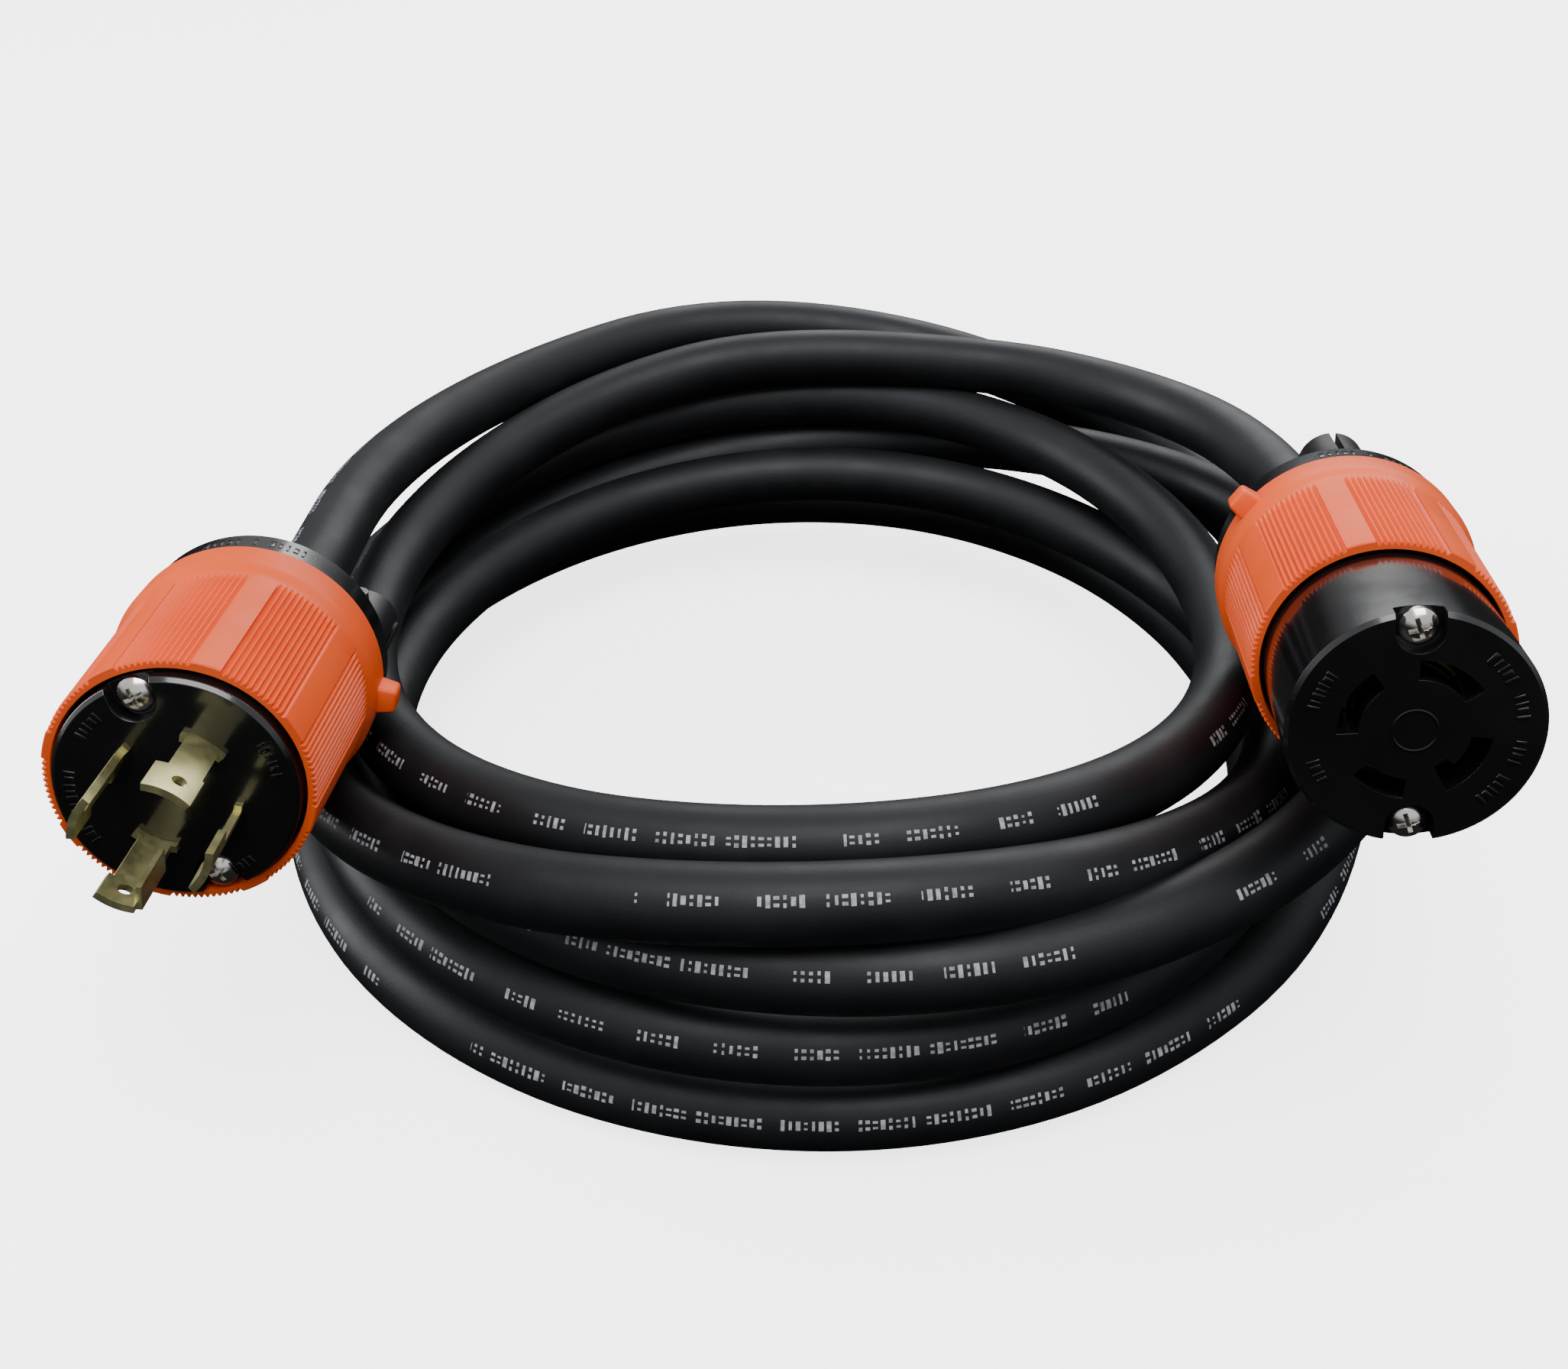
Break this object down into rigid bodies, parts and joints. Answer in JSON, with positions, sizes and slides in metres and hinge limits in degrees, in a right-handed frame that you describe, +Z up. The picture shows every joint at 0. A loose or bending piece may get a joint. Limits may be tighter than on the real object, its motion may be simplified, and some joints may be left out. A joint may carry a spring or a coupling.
{
  "type": "shore power cord",
  "caption": "Coiled round rubber power cord with an orange locking four-blade plug at one end and a matching four-slot connector at the other.",
  "frame": {"origin": "on the floor that the coil lies on, at the middle of the coil", "axes": "+Z up from the floor, +X from the plug towards the connector, -Y the way both devices point"},
  "size_m": [0.3339, 0.3342, 0.1406],
  "materials": {
    "cable_rubber": "matt to satin black rubber jacket, slightly orange-peeled, with pale printed marks",
    "face_black": "glossy moulded black nylon",
    "block_grey": "plain moulded thermoset",
    "plated_terminals": "nickel plated",
    "face_screws": "bright nickel plate",
    "clamp_screws": "nickel plate",
    "shell_orange": "semi-gloss moulded orange nylon, finely ribbed",
    "cap_black": "glossy moulded black nylon",
    "seal_rubber": "soft matt neoprene",
    "clamp_black": "moulded black nylon",
    "blade_brass": "stamped and tumbled brass",
    "contact_brass": "formed spring brass",
    "wire_green": "extruded insulation",
    "wire_black": "extruded insulation",
    "wire_white": "extruded insulation",
    "wire_red": "extruded insulation"
  },
  "bodies": {
    "cord_set": {"connector_assembly_screws": "face_screws", "connector_clamp_jaw_fixed": "clamp_black", "connector_contact_ground": "contact_brass", "connector_contact_x": "contact_brass", "connector_contact_y": "contact_brass", "connector_contact_z": "contact_brass", "connector_dust_seal": "seal_rubber", "connector_nose": "face_black", "connector_rear_cap": "cap_black", "connector_shell": "shell_orange", "connector_terminal_plates": "plated_terminals", "connector_terminal_screws": "plated_terminals", "connector_wire_black": "wire_black", "connector_wire_green": "wire_green", "connector_wire_red": "wire_red", "connector_wire_white": "wire_white", "connector_wiring_block": "block_grey", "cord_coil": "cable_rubber", "cord_lead_connector": "cable_rubber", "cord_lead_plug": "cable_rubber", "plug_assembly_screws": "face_screws", "plug_blade_ground": "blade_brass", "plug_blade_x": "blade_brass", "plug_blade_y": "blade_brass", "plug_blade_z": "blade_brass", "plug_clamp_jaw_fixed": "clamp_black", "plug_dust_seal": "seal_rubber", "plug_nose": "face_black", "plug_rear_cap": "cap_black", "plug_shell": "shell_orange", "plug_terminal_plates": "plated_terminals", "plug_terminal_screws": "plated_terminals", "plug_wire_black": "wire_black", "plug_wire_green": "wire_green", "plug_wire_red": "wire_red", "plug_wire_white": "wire_white", "plug_wiring_block": "block_grey"},
    "plug_clamp": {"plug_clamp_jaw_moving": "clamp_black", "plug_clamp_screws": "clamp_screws"},
    "connector_clamp": {"connector_clamp_jaw_moving": "clamp_black", "connector_clamp_screws": "clamp_screws"}
  },
  "joints": [
    {"name": "plug_clamp_slide", "type": "slide", "parent": "cord_set", "child": "plug_clamp", "axis": [-0.0058, 0.19, 0.9818], "range_m": [0, 0.003]},
    {"name": "connector_clamp_slide", "type": "slide", "parent": "cord_set", "child": "connector_clamp", "axis": [0.9873, -0.1344, 0.0851], "range_m": [0, 0.003]}
  ]
}
